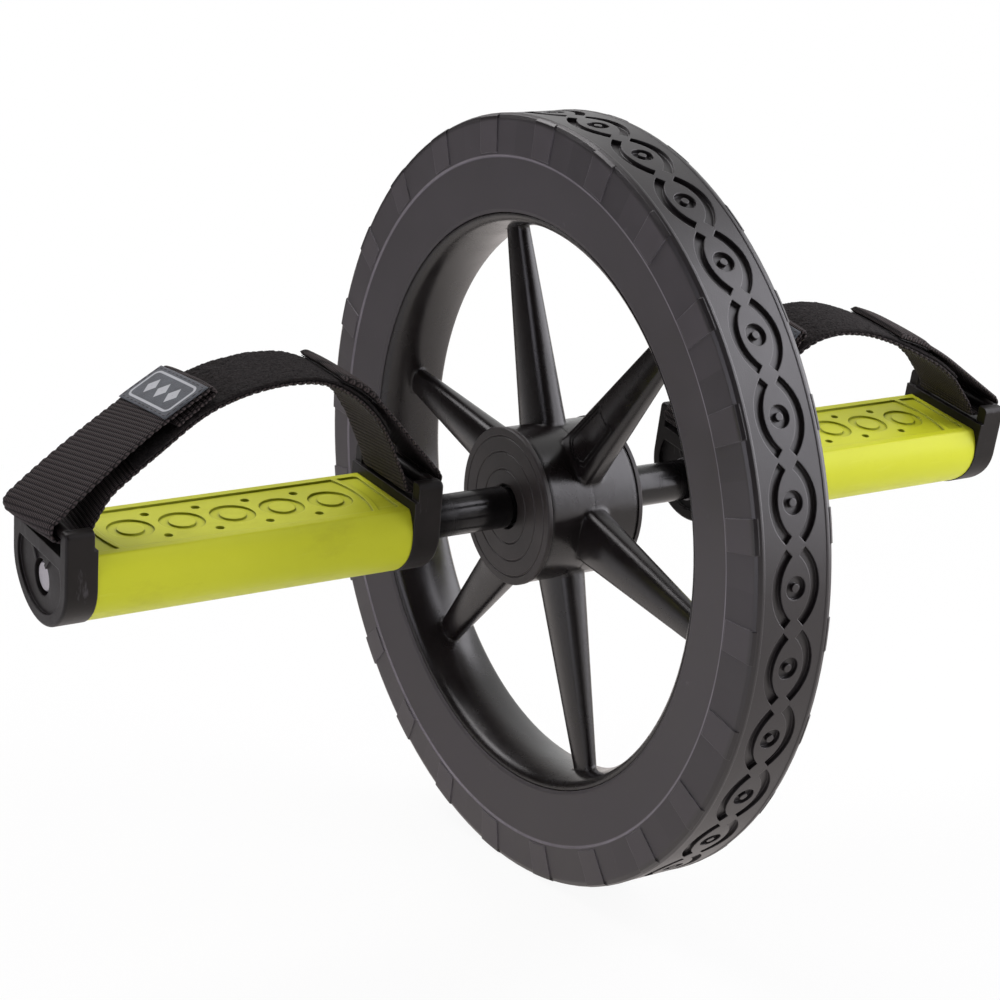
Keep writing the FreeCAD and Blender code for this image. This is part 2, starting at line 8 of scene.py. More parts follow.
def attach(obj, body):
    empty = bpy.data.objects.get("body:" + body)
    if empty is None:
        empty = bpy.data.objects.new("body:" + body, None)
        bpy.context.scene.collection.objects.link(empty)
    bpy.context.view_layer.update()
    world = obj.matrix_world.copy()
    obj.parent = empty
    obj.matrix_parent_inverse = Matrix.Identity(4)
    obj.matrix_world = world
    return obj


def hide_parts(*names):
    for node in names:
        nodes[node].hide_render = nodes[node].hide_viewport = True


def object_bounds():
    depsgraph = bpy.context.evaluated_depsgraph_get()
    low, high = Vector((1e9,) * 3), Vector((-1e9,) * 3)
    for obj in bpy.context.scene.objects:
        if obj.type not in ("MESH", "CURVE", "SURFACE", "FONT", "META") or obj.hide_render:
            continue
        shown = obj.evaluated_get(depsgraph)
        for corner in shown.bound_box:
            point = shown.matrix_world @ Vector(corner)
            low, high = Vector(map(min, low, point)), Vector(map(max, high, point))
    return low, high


# Ab wheel roller: spoked wheel on an axle, with two strapped pedals.
# The scene is in metres, and sizes named here are in millimetres where their heading doesn't say otherwise.

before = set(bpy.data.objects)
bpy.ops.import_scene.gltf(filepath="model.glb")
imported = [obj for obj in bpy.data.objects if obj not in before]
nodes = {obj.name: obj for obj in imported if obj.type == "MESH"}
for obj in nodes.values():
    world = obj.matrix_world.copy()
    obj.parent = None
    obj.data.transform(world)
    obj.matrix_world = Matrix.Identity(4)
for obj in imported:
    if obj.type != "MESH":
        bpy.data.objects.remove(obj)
cad_low, cad_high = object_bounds()
MM = 0.001
random = np.random.default_rng(7)
WHITE = (1, 1, 1, 1)

# Each pedal's sign along the axle and its tilt in degrees
SIDES = {"left": (-1, 8.6), "right": (1, 12.9)}

# Camera, with its place and clipping in metres
camera_place = (0.84007, -0.55606, 0.24679)
camera_azimuth = 57.8078
camera_elevation = 13.7893
camera_lens = 84.22
camera_sensor = 36.0
camera_clip = (0.05, 50.0)

# Light, as radiance against white at 1
room_tint = (1.0, 0.93, 0.9, 1.0)
room_level = 0.04
ambient_level = 0.2
backdrop_azimuth = 185.0
backdrop_edges = (0.26, 0.64)

# Lamps: azimuth and rise in degrees, distance and size in metres, radiance, tint
LAMPS = {
    "key": (150, 18, 1.3, (1.3, 1.9), 4.3, (0.975, 0.955, 1.03)),
    "side": (8, 4, 0.92, (0.6, 0.7), 2.3, (0.97, 0.94, 1.06)),
    "top": (-70, 55, 1.1, (0.8, 0.8), 5.0, (1.0, 0.97, 0.99)),
}

# Floor, in metres: its own tone, how far the shadow reaches, and where it starts to mirror white
floor_radius = 6.0
floor_corners = 96
floor_tone = 0.82
shadow_reach = (0.25, 0.9)
shadow_white = 0.93
white_from = (-0.3, -0.2)

# Pedal and strap, as in the CAD source
pedal_centre = 156.95
bar_y = 80.25
bar_z = 25.5
fold_floor = 21.7
fold_y = 82.75
slot_y = 70.95
arch_height = 51.0
fold_radius = 4.0
slot_radius = 2.2
hem_length = 20.0
hem_step = 2.7
hem_radius = 1.25
label_stack = 6.4
tail_stack = 5.0
strap_width = 38.0
strap_half = 1.0
tape_width = 37.0
sewn_gap = 0.02
pile_height = 1.6
hook_length = 20.0
label_height = 0.8
label_length = 21.0
tape_margin = 1.0

# A strap's route: its steps, the share of a run that the arc of a free corner takes up,
# and the share of the labelled end over which that end slides
route_step = 0.25
arc_step = 0.2
corner_share = 0.48
slide_share = 0.6

# Webbing, with the slant of its ribs
rib_pitch = 1.95
yarn_pitch = 1.1
rib_depth = 0.36
rib_power = 4
scallop_pitch = 3.9
scallop_depth = 0.6
web_step = 0.325
web_columns = 27
edge_power = 22
end_least = 0.02
cup_depth = 0.5
tail_hem = 24.0
tail_swell = 1.1
swell_ramp = 4
tail_press = 1.3
tail_round = 1.6
web_skew = {"left": 0.12, "right": 0.0}

# Pile, with the shares of its height that are even, rounded at the edges, drawn by point and drawn by tuft
pile_step = 0.4
pile_tuft = 4
pile_stray = 0.35
pile_power = 14
pile_shares = (0.2, 0.35, 0.3, 0.15)

# Hook tape, with the hooks' distances from its ends and sides, and one hook's sections as rise, half size, lean
hook_rows = 41
hook_columns = 15
hook_tape_half = 0.2
hook_pitch = 1.5
hook_margin = 1.0
hook_ends = (0.6, 0.5)
HOOK = ((0.3, 0.2, 0), (0.8, 0.14, 0.1), (1.15, 0.16, 0.45))

# Label, with a border and diamonds set out from its middle
label_rows = 64
label_columns = 27
label_power = 30
label_yarn = 0.5
border_halves = (12.6, 5.0)
border_round = 2.6
border_edge = (0.45, 0.65)
diamond_pitch = 8.0
diamond_slope = 0.7
diamond_band = 1.6
diamond_edge = (1.35, 1.55)
diamond_row = 12.0

# Stitches, with place and size of a stitch's sections as shares of its half sizes, and the seams' margins
stitch_pitch = 3.2
stitch_length = 2.4
stitch_width = 0.62
stitch_height = 0.4
stitch_sides = 6
STITCH = ((-0.75, 0.66), (0, 1.0), (0.75, 0.66))
label_seam = 1.2
hook_seam = 1.5
pile_seam = 1.0

# Axle, with a groove for a ring near each sawn end
axle_radius = 6.35
axle_end = 237.6
axle_chamfer = 0.8
groove_radius = 5.55
groove_span = (233.55, 234.65)
axle_columns = 96
saw_cut = 237.0
sharp_angle = 30

# Tyre's sidewall blocks, and the radii over which its tone changes, with a painted highlight along the step in
# the sidewall
block_count = 24
block_share = 0.32
block_foot = (151.9, 152.3)
block_top = (167.2, 168.4)
tread_foot = (166.5, 168.0)
step_radius = 151.8
step_fade = (0.3, 0.8)

# Spokes: sizes at the hub and at the rim, the crown of their broad faces, and the softening of corners
spoke_count = 6
spoke_angle = 43.4
spoke_foot = 32.1
spoke_tip = 122.6
spoke_depths = (6.5, 3.1)
spoke_halves = (12.5, 6.3)
spoke_rounds = (4.6, 2.8)
crown_sine = 0.3
crown_sink = 1.5
crown_foot = 0.95
crown_rows = 9
crown_columns = 25
wheel_softening = 3.0

# Bare plate on one spoke, and the profile of its beads as shares of half their width and of their height
plate_inner = 40.0
plate_outer = 67.5
plate_halves = (7.8, 6.7)
plate_bow = 2.4
plate_corner = 1.6
bow_sine = 0.62
bow_points = 15
corner_points = 7
bead_width = 0.75
bead_height = 0.38
bead_inset = 1.7
BEAD = ((-1, -0.3), (-0.8, 0.6), (-0.35, 1.0), (0.35, 1.0), (0.8, 0.6), (1, -0.3))

# Places on each strap as shares of the bars' distance and of the arch's height, and its shifts
STRAPS = {
    "left": {
        "feet": [(-0.826, 0.088), (-0.770, 0.240)],
        "label_end": (-0.310, 0.939),
        "label_run": (35.8, 3.5),
        "crown": [
            (-0.099, 0.920), (0.124, 0.980), (0.323, 0.968),
            (0.447, 0.904), (0.571, 0.776), (0.670, 0.624),
            (0.745, 0.447), (0.801, 0.245), (0.857, 0.059),
        ],
        "tail_share": 1.0,
        "fold_shift": (1.0, -2.5),
        "label_shift": (4.5, 0.105, 2.5),
    },
    "right": {
        "feet": [(-0.826, 0.088), (-0.782, 0.284)],
        "label_end": (-0.559, 1.000),
        "label_run": (24.4, 8.7),
        "crown": [
            (-0.435, 0.900), (-0.273, 0.935), (-0.074, 0.896),
            (0.112, 0.800), (0.298, 0.676), (0.534, 0.496),
            (0.689, 0.324), (0.782, 0.157), (0.857, 0.029),
        ],
        "tail_share": 0.735,
        "fold_shift": (0.0, 0.0),
        "label_shift": (0.0, 0.0, 0.0),
    },
}


def srgb(red, green, blue):
    channels = []
    for value in (red, green, blue):
        share = value / 255
        channels.append(share / 12.92 if share <= 0.04045 else ((share + 0.055) / 1.055) ** 2.4)
    return (*channels, 1.0)


def metres(sizes):
    return [size * MM for size in sizes]


class Nodes:
    # A node tree under construction, with sockets handed from node to node

    def __init__(self, tree):
        self.tree = tree

    def set(self, node, values):
        for name, value in values.items():
            if isinstance(value, bpy.types.NodeSocket):
                self.tree.links.new(value, node.inputs[name])
            else:
                node.inputs[name].default_value = value

    def node(self, kind, values=None, **settings):
        made = self.tree.nodes.new("ShaderNode" + kind)
        for name, value in settings.items():
            setattr(made, name, value)
        self.set(made, values or {})
        return made

    def math(self, operation, *values):
        return self.node("Math", dict(enumerate(values)), operation=operation).outputs[0]

    def remap(self, value, low, high, new_low=0.0, new_high=1.0, **settings):
        values = {"Value": value, "From Min": low, "From Max": high, "To Min": new_low, "To Max": new_high}
        return self.node("MapRange", values, **settings).outputs["Result"]

    def mix(self, share, first, second):
        return self.node("Mix", {0: share, 6: first, 7: second}, data_type="RGBA").outputs[2]

    def dot(self, first, second):
        return self.node("VectorMath", {0: first, 1: second}, operation="DOT_PRODUCT").outputs["Value"]

    def rays(self):
        # Whether a ray comes from the camera, and whether from a mirror or through glass
        path = self.node("LightPath").outputs
        return path["Is Camera Ray"], self.math("MAXIMUM", path["Is Glossy Ray"], path["Is Transmission Ray"])


class Look(Nodes):
    # A material, with noise scales per metre and radii in metres

    def __init__(self, name, **values):
        self.material = bpy.data.materials.new(name)
        self.material.use_nodes = True
        super().__init__(self.material.node_tree)
        self.shader = self.tree.nodes["Principled BSDF"]
        coords = self.node("TexCoord")
        self.place = coords.outputs["Object"]
        self.cloth = coords.outputs["UV"]
        self.normal = None
        self.finish(**values)

    def finish(self, **values):
        names = {"specular_level": "Specular IOR Level"}
        self.set(self.shader, {names.get(k, k.replace("_", " ").title()): v for k, v in values.items()})

    def noise(self, scale, detail=3.0, rough=0.55, place=None):
        values = {"Vector": place or self.place, "Scale": scale, "Detail": detail, "Roughness": rough}
        return self.node("TexNoise", values).outputs["Fac"]

    def stretched(self, x, y, z):
        return self.node("Mapping", {"Vector": self.place, "Scale": (x, y, z)}).outputs["Vector"]

    def parts(self, vector):
        return self.node("SeparateXYZ", {"Vector": vector}).outputs

    def rounded(self, radius):
        return self.node("Bevel", {"Radius": radius}, samples=6).outputs["Normal"]

    def soften(self, radius):
        self.normal = self.rounded(radius)
        self.finish(normal=self.normal)

    def bump(self, height, strength, distance):
        values = {"Height": height, "Strength": strength, "Distance": distance}
        if self.normal:
            values["Normal"] = self.normal
        self.normal = self.node("Bump", values).outputs["Normal"]
        self.finish(normal=self.normal)

    def edges(self, radius):
        # 1 along edges, where the rounded normal leaves the flat one: worn edges on plastics and a painted
        # highlight on the tyre
        facing = self.node("NewGeometry").outputs["Normal"]
        return self.remap(self.dot(self.rounded(radius), facing), 0.985, 0.8)

    def turn(self):
        # Angle round the axle, in turns
        x, y, z = self.parts(self.place)
        return self.math("DIVIDE", self.math("ARCTAN2", z, x), 2 * math.pi)

    def length(self, first, second):
        square = self.math("ADD", self.math("MULTIPLY", first, first), self.math("MULTIPLY", second, second))
        return self.math("SQRT", square)

    def radius(self):
        # Distance from the axle
        x, y, z = self.parts(self.place)
        return self.length(x, z)

    def rings(self, scale):
        # Turning marks, as noise that changes with the distance from the axle alone
        values = {"W": self.math("MULTIPLY", self.radius(), scale), "Scale": 1.0}
        return self.node("TexNoise", values, noise_dimensions="1D").outputs["Fac"]


def tyre_look():
    look = Look("tyre_rubber", specular_level=0.5)
    radius = look.radius()
    blocks = look.math("MULTIPLY", look.turn(), block_count)
    middle = look.math("ABSOLUTE", look.math("SUBTRACT", look.math("FRACT", blocks), 0.5))
    block = look.math("LESS_THAN", middle, block_share / 2)
    draw = look.node("TexWhiteNoise", {"W": look.math("FLOOR", blocks)}, noise_dimensions="1D")
    lot = look.remap(draw.outputs["Value"], 0.0, 1.0, -0.6, 0.4)
    outer = look.remap(radius, *metres(block_foot))
    outer = look.math("MULTIPLY", outer, look.remap(radius, *metres(block_top), 1.0, 0.0))
    tone = look.math("MULTIPLY", look.math("ADD", block, lot), outer)
    dust = look.noise(26.0, 5.0, 0.65)
    tone = look.math("ADD", look.math("MULTIPLY", tone, 0.3), dust)
    colour = look.mix(look.remap(tone, 0.2, 0.9), srgb(46, 43, 45), srgb(64, 60, 63))
    scuffs = look.noise(140.0, 4.0, 0.7, look.stretched(1.0, 3.0, 1.0))
    colour = look.mix(look.remap(scuffs, 0.66, 0.8, 0.0, 0.5), colour, srgb(84, 80, 84))
    # Painted highlight: a pale tone along the tyre's edges, patchy by noise
    edge = look.math("MULTIPLY", look.edges(0.0006), look.remap(look.noise(90.0), 0.35, 0.7))
    colour = look.mix(look.math("MULTIPLY", edge, 0.6), colour, srgb(128, 123, 130))
    # Painted highlight: a pale line along the step in the sidewall, patchy by noise
    away = look.math("ABSOLUTE", look.math("SUBTRACT", radius, step_radius * MM))
    step = look.remap(away, *metres(step_fade), 1.2, 0.0)
    colour = look.mix(look.math("MULTIPLY", step, dust), colour, srgb(134, 129, 136))
    tread = look.remap(radius, *metres(tread_foot))
    colour = look.mix(look.math("MULTIPLY", tread, 0.8), colour, srgb(24, 21, 22))
    look.finish(base_color=colour)
    rough = look.remap(dust, 0.2, 0.8, 0.5, 0.68)
    look.finish(roughness=look.math("SUBTRACT", rough, look.math("MULTIPLY", tread, 0.2)))
    look.soften(0.0006)
    look.bump(look.noise(1800.0, 2.0), 0.1, 0.0003)
    return look


def wheel_look(name, softening):
    look = Look(name, specular_level=0.45)
    dust = look.noise(22.0, 5.0, 0.65)
    colour = look.mix(look.remap(dust, 0.3, 0.8), srgb(14, 11, 11), srgb(24, 20, 20))
    scratches = look.noise(160.0, 3.0, 0.6, look.stretched(1.0, 0.12, 1.0))
    colour = look.mix(look.remap(scratches, 0.68, 0.82, 0.0, 0.25), colour, srgb(70, 64, 64))
    look.finish(base_color=colour)
    look.finish(roughness=look.remap(look.noise(60.0, 4.0), 0.3, 0.75, 0.2, 0.32))
    if softening:
        look.soften(softening)
    look.bump(look.noise(420.0, 2.0), 0.06, 0.0004)
    return look


def hub_cap_look():
    look = Look("hub_cap_plastic", roughness=0.5, specular_level=0.4)
    dust = look.noise(60.0, 5.0, 0.65)
    colour = look.mix(look.remap(dust, 0.3, 0.75), srgb(30, 26, 25), srgb(44, 39, 38))
    edge = look.edges(0.0005)
    colour = look.mix(look.math("MULTIPLY", edge, 0.3), colour, srgb(98, 93, 94))
    look.finish(base_color=colour)
    look.soften(0.0004)
    look.bump(look.rings(900.0), 0.08, 0.0003)
    look.bump(look.noise(900.0, 2.0), 0.08, 0.0003)
    return look


def steel_look(name, colour, dark, roughness):
    look = Look(name, metallic=1.0)
    drawing = look.noise(240.0, 3.0, 0.6, look.stretched(1.0, 0.05, 1.0))
    spots = look.noise(330.0, 4.0, 0.7)
    out = look.math("ABSOLUTE", look.parts(look.place)["Y"])
    sawn = look.math("GREATER_THAN", out, saw_cut * MM)
    colour = look.mix(look.remap(spots, 0.45, 0.75), colour, dark)
    look.finish(base_color=look.mix(look.math("MULTIPLY", sawn, 0.8), colour, srgb(196, 193, 198)))
    rough = look.remap(drawing, 0.3, 0.7, roughness, roughness + 0.16)
    look.finish(roughness=look.math("MAXIMUM", rough, look.math("MULTIPLY", sawn, 0.5)))
    look.soften(0.0004)
    look.bump(look.rings(2600.0), 0.12, 0.0002)
    return look


def paint_look():
    look = Look("tube_paint", specular_level=0.35, coat_weight=0.1, coat_roughness=0.1)
    dust = look.noise(45.0, 5.0, 0.7)
    colour = look.mix(look.remap(dust, 0.35, 0.8), srgb(14, 13, 14), srgb(25, 23, 24))
    rubs = look.noise(120.0, 4.0, 0.65, look.stretched(0.15, 1.0, 0.15))
    colour = look.mix(look.remap(rubs, 0.68, 0.8, 0.0, 0.4), colour, srgb(70, 66, 66))
    look.finish(base_color=colour)
    look.finish(roughness=look.remap(rubs, 0.3, 0.75, 0.16, 0.32))
    look.soften(0.0005)
    look.bump(look.noise(260.0, 2.0), 0.05, 0.0004)
    return look


def plain_plastic_look(name, dark, light, roughness):
    look = Look(name, specular_level=0.45)
    dust = look.noise(70.0, 4.0, 0.6)
    look.finish(base_color=look.mix(look.remap(dust, 0.3, 0.75), dark, light))
    look.finish(roughness=look.remap(look.noise(150.0), 0.3, 0.7, roughness, roughness + 0.12))
    look.soften(0.0003)
    look.bump(look.noise(1200.0, 2.0), 0.08, 0.0003)
    return look


def pad_look():
    look = Look("pad_lime", specular_level=0.2)
    broad = look.noise(11.0, 4.0, 0.6)
    colour = look.mix(look.remap(broad, 0.25, 0.75), srgb(198, 204, 42), srgb(208, 213, 50))
    smudge = look.noise(38.0, 6.0, 0.72, look.stretched(1.0, 0.55, 1.0))
    colour = look.mix(look.remap(smudge, 0.56, 0.78, 0.0, 0.25), colour, srgb(152, 148, 40))
    rubs = look.noise(210.0, 3.0, 0.6, look.stretched(1.0, 0.14, 1.0))
    colour = look.mix(look.remap(rubs, 0.66, 0.8, 0.0, 0.35), colour, srgb(221, 226, 96))
    edge = look.math("MULTIPLY", look.edges(0.0007), look.remap(smudge, 0.3, 0.6))
    colour = look.mix(look.math("MULTIPLY", edge, 0.4), colour, srgb(214, 222, 84))
    # Painted shade: ambient occlusion darkens the pad's recesses towards dark olive
    painted_hollow_shade = look.node("AmbientOcclusion", {"Distance": 0.005}, samples=8, only_local=True).outputs["AO"]
    colour = look.mix(look.remap(painted_hollow_shade, 0.55, 0.95, 0.6, 0.0), colour, srgb(112, 118, 26))
    look.finish(base_color=colour)
    look.finish(roughness=look.remap(smudge, 0.3, 0.75, 0.36, 0.52))
    look.soften(0.0007)
    look.bump(look.noise(760.0, 2.0), 0.05, 0.0004)
    return look


def cap_look():
    look = Look("cap_plastic", specular_level=0.22)
    dust = look.noise(34.0, 6.0, 0.7)
    colour = look.mix(look.remap(dust, 0.35, 0.8), srgb(15, 12, 11), srgb(28, 24, 22))
    scrapes = look.noise(170.0, 4.0, 0.65, look.stretched(1.0, 1.0, 0.2))
    colour = look.mix(look.remap(scrapes, 0.63, 0.8, 0.0, 0.5), colour, srgb(104, 101, 104))
    edge = look.math("MULTIPLY", look.edges(0.0008), look.remap(dust, 0.35, 0.65))
    colour = look.mix(look.math("MULTIPLY", edge, 0.45), colour, srgb(96, 93, 96))
    look.finish(base_color=colour)
    look.finish(roughness=look.remap(dust, 0.3, 0.75, 0.36, 0.55))
    look.soften(0.0007)
    look.bump(look.noise(900.0, 2.0), 0.1, 0.0003)
    return look


def webbing_look():
    look = Look("webbing", roughness=0.75, specular_level=0.15, sheen_weight=0.03, sheen_roughness=0.5)
    across, along = look.parts(look.cloth)[:2]
    row = look.math("FLOOR", look.math("DIVIDE", along, rib_pitch))
    shift = look.math("MULTIPLY", look.math("MODULO", row, 2.0), math.pi)
    phase = look.math("MULTIPLY", across, 2 * math.pi / yarn_pitch)
    yarns = look.math("SINE", look.math("ADD", phase, shift))
    fibres = look.noise(1500.0, 3.0, 0.7)
    dust = look.noise(60.0, 4.0, 0.6)
    crest = look.math("ABSOLUTE", look.math("SINE", look.math("MULTIPLY", along, math.pi / rib_pitch)))
    colour = look.mix(look.remap(yarns, -1.0, 1.0), srgb(15, 13, 12), srgb(72, 64, 63))
    colour = look.mix(look.remap(fibres, 0.5, 0.8, 0.0, 0.45), colour, srgb(72, 66, 64))
    colour = look.mix(look.remap(dust, 0.55, 0.8, 0.0, 0.2), colour, srgb(60, 55, 55))
    # Painted shade: the valleys between the ribs are darkened nearly to black
    colour = look.mix(look.remap(crest, 0.15, 0.7, 0.9, 0.0), colour, srgb(3, 3, 3))
    look.finish(base_color=colour)
    look.bump(yarns, 0.6, 0.0003)
    look.bump(fibres, 0.35, 0.0003)
    return look


def pile_look():
    look = Look("loop_pile", roughness=0.95, specular_level=0.1, sheen_weight=0.04, sheen_roughness=0.6)
    tufts = look.noise(520.0, 4.0, 0.7)
    fuzz = look.noise(2100.0, 3.0, 0.7)
    colour = look.mix(look.remap(tufts, 0.3, 0.75), srgb(10, 9, 9), srgb(38, 34, 33))
    colour = look.mix(look.remap(fuzz, 0.55, 0.75, 0.0, 0.6), colour, srgb(76, 69, 68))
    look.finish(base_color=colour)
    look.bump(tufts, 0.6, 0.0006)
    look.bump(fuzz, 0.6, 0.0003)
    return look


def label_look():
    look = Look("label_weave", roughness=0.7, specular_level=0.3, sheen_weight=0.2, sheen_roughness=0.5)
    across, along = look.parts(look.cloth)[:2]
    side = look.math("ABSOLUTE", across)
    end = look.math("ABSOLUTE", look.math("SUBTRACT", along, label_length / 2))
    wide, long = (look.math("SUBTRACT", reach, half) for reach, half in zip((side, end), border_halves))
    corner = look.length(look.math("MAXIMUM", wide, 0.0), look.math("MAXIMUM", long, 0.0))
    inset = look.math("ADD", corner, look.math("MINIMUM", look.math("MAXIMUM", wide, long), 0.0))
    away = look.math("ABSOLUTE", look.math("SUBTRACT", inset, border_round))
    border = look.remap(away, *border_edge, 1.0, 0.0)
    cell = look.math("MODULO", look.math("ADD", across, 4.5 * diamond_pitch), diamond_pitch)
    cell = look.math("ABSOLUTE", look.math("SUBTRACT", cell, diamond_pitch / 2))
    diamond = look.math("ADD", cell, look.math("MULTIPLY", end, diamond_slope))
    band = look.math("ABSOLUTE", look.math("SUBTRACT", diamond, diamond_band))
    motif = look.remap(band, *diamond_edge, 1.0, 0.0)
    motif = look.math("MULTIPLY", motif, look.math("LESS_THAN", side, diamond_row))
    pale = look.math("MAXIMUM", border, motif)
    phases = [look.math("MULTIPLY", way, 2 * math.pi / label_yarn) for way in (along, across)]
    weave = look.math("MULTIPLY", *(look.math("SINE", phase) for phase in phases))
    dust = look.noise(160.0, 4.0, 0.6)
    colour = look.mix(look.remap(dust, 0.3, 0.75), srgb(58, 63, 68), srgb(78, 84, 90))
    colour = look.mix(look.math("MULTIPLY", pale, 0.85), colour, srgb(196, 200, 202))
    colour = look.mix(look.remap(weave, -1.0, 1.0, 0.0, 0.25), colour, srgb(30, 32, 35))
    look.finish(base_color=colour)
    look.bump(weave, 0.4, 0.0002)
    look.bump(pale, 0.25, 0.0002)
    return look


def thread_look():
    look = Look("thread", roughness=0.6, specular_level=0.4, sheen_weight=0.2, sheen_roughness=0.4)
    ply = look.noise(2400.0, 2.0)
    look.finish(base_color=look.mix(look.remap(ply, 0.3, 0.7), srgb(30, 30, 32), srgb(66, 66, 69)))
    look.bump(ply, 0.5, 0.0002)
    return look


def dress(look, *names):
    for name in names:
        mesh = nodes[name].data
        mesh.materials.clear()
        mesh.materials.append(look.material)


def dress_frame():
    zinc = steel_look("washer_steel", srgb(150, 150, 152), srgb(96, 95, 96), 0.34)
    spring = steel_look("spring_steel", srgb(84, 82, 82), srgb(48, 46, 46), 0.36)
    paint = paint_look()
    nylon = plain_plastic_look("bush_nylon", srgb(48, 47, 47), srgb(62, 60, 60), 0.42)
    core = plain_plastic_look("core_plastic", srgb(34, 33, 34), srgb(46, 44, 45), 0.5)
    cap_plastic = hub_cap_look()
    lime = pad_look()
    satin = cap_look()
    dress(tyre_look(), "tyre")
    dress(wheel_plastic, "spoked_wheel")
    dress(axle_steel, "axle_rod")
    for side in SIDES:
        dress(zinc, side + "_hub_washer", side + "_inner_washer", side + "_outer_washer")
        dress(spring, side + "_retaining_ring")
        dress(paint, side + "_spacer_tube")
        dress(nylon, side + "_hub_bush", side + "_outer_bush", side + "_inner_bush")
        dress(core, side + "_core")
        dress(cap_plastic, side + "_hub_cap")
        dress(lime, side + "_pad")
        dress(satin, side + "_outer_cap", side + "_inner_cap")


def piece(name, points, faces, look, body, cloth=None):
    mesh = bpy.data.meshes.new(name)
    mesh.from_pydata(np.asarray(points).tolist(), [], faces)
    mesh.materials.append(look.material)
    mesh.polygons.foreach_set("use_smooth", [True] * len(mesh.polygons))
    if cloth is not None:
        corners = np.zeros(len(mesh.loops), np.int32)
        mesh.loops.foreach_get("vertex_index", corners)
        layer = mesh.uv_layers.new(name="cloth")
        layer.uv.foreach_set("vector", np.asarray(cloth, np.float32)[corners].ravel())
    mesh.update()
    made = bpy.data.objects.new(name, mesh)
    bpy.context.scene.collection.objects.link(made)
    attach(made, body)
    return made


def follow(along, marks, values):
    # Complex values of a line at distances along it
    return np.interp(along, marks, values.real) + 1j * np.interp(along, marks, values.imag)


def eased(share):
    return share ** 2 * (3 - 2 * share)


class Route:
    # A strap's centre line in its pedal's plane, as complex numbers y + z i

    def __init__(self, side):
        self.side = side
        self.strap = STRAPS[side]
        sign, tilt = SIDES[side]
        turn = Matrix.Rotation(math.radians(tilt), 4, "Y")
        self.matrix = np.array(Matrix.Translation((0, sign * pedal_centre, 0)) @ turn)
        self.marks = []
        fine = self.rounded(self.corners())
        steps = np.abs(np.diff(fine))
        done = np.concatenate([[0], np.cumsum(steps)])
        self.length = done[-1]
        self.along = np.linspace(0, self.length, int(self.length / route_step))
        self.centre = follow(self.along, done, fine)
        heading = np.gradient(self.centre)
        self.normal = 1j * heading / np.abs(heading)
        self.heading = heading[-1] / abs(heading[-1])

    def corners(self):
        strap = self.strap
        end = at(*strap["label_end"])
        left = fold_corner(-1, end)
        down = self.down = unit(end, left)
        self.arch = [at(*p) for p in strap["feet"]]
        self.arch += [moved(end, down, reach, label_stack) for reach in strap["label_run"]]
        self.arch += [at(*p) for p in strap["crown"]]
        tail = [outside(self.arch, k, tail_stack) for k in (-4, -5, -6)]
        tail[2] = tail[1] + strap["tail_share"] * (tail[2] - tail[1])
        turned = moved(end, down, 0, hem_step)
        path = [(moved(turned, down, hem_length, 0), 0)]
        path += [(turned, hem_radius), (end, hem_radius), (left, fold_radius)]
        path += [(complex(-slot_y, fold_floor), slot_radius)]
        path += [(p, None) for p in self.arch]
        path += [(complex(slot_y, fold_floor), slot_radius), (fold_corner(1, tail[0]), fold_radius)]
        return path + [(p, None) for p in tail]

    def rounded(self, path):
        points = [path[0][0]]
        for (before, _), (corner, radius), (after, _) in zip(path, path[1:], path[2:]):
            a = unit(before, corner)
            turn = cmath.phase(unit(corner, after) / a)
            bend = abs(math.tan(turn / 2))
            if radius is None:
                radius = corner_share * min(abs(corner - before), abs(after - corner)) / bend
            start = corner - a * radius * bend
            arm = math.copysign(radius, turn) * 1j * a
            shares = np.linspace(0, 1, 3 + int(abs(turn) * radius / arc_step))
            bow = start + arm - arm * np.exp(1j * turn * shares)
            length = np.abs(np.diff(np.array(points))).sum() + abs(start - points[-1])
            self.marks.append(length + radius * abs(turn) / 2)
            points.extend(bow)
        points.append(path[-1][0])
        return np.array(points)

    def place(self, along, across, height):
        along = np.clip(along, 0, self.length)
        centre = follow(along, self.along, self.centre)
        normal = follow(along, self.along, self.normal)
        normal /= np.abs(normal)
        share = across / (strap_width / 2)
        free = np.clip((centre.imag - bar_z) / arch_height, 0, 1)
        cup = cup_depth * free * (1 / 3 - share ** 2) * np.sign(normal.imag)
        spot = centre + normal * (height + cup) + self.skew(along, share) + self.slide(along, across)
        local = np.stack([across + 0 * along, spot.real, spot.imag], -1) * MM
        turn, shift = self.matrix[:3, :3], self.matrix[:3, 3]
        shift = shift * np.array([1, MM, 1])
        return local @ turn.T + shift

    def skew(self, along, share):
        # How far the fold over the bar stands out, more at one edge of the strap than at the other
        label, fold, slot = self.label_start() + label_length, self.marks[2], self.marks[3]
        fade = np.interp(along, [label, fold, slot], [0.0, 1.0, 0.0])
        reach, tilt = self.strap["fold_shift"]
        return -(reach + tilt * share) * eased(fade)

    def slide(self, along, across):
        # How far the labelled end is pulled up the foot, more at its front edge, and bows out on its way,
        # and how far the tail is pressed on
        tip, fold = self.marks[0], self.marks[2]
        share = np.clip((fold - along) / (fold - tip), 0, 1)
        fade = np.clip(share / slide_share, 0, 1)
        reach, shear, bow = self.strap["label_shift"]
        pulled = (reach + shear * across) * eased(fade)
        lean = 1j * self.heading * tail_press * self.near_end(along, tail_hem) ** 2
        return lean - self.down * pulled - 1j * self.down * bow * np.sin(math.pi * share)

    def near_end(self, along, reach):
        return np.clip(1 - (self.length - along) / reach, 0, 1)

    def label_start(self):
        return self.marks[1] + hem_step / 2

    def pile_span(self):
        # Where the pile starts and ends, at corners of the arch
        return self.marks[3 + len(self.strap["feet"]) + 1], self.marks[3 + len(self.arch) - 2]


def at(share, rise):
    return complex(share * bar_y, bar_z + rise * arch_height)


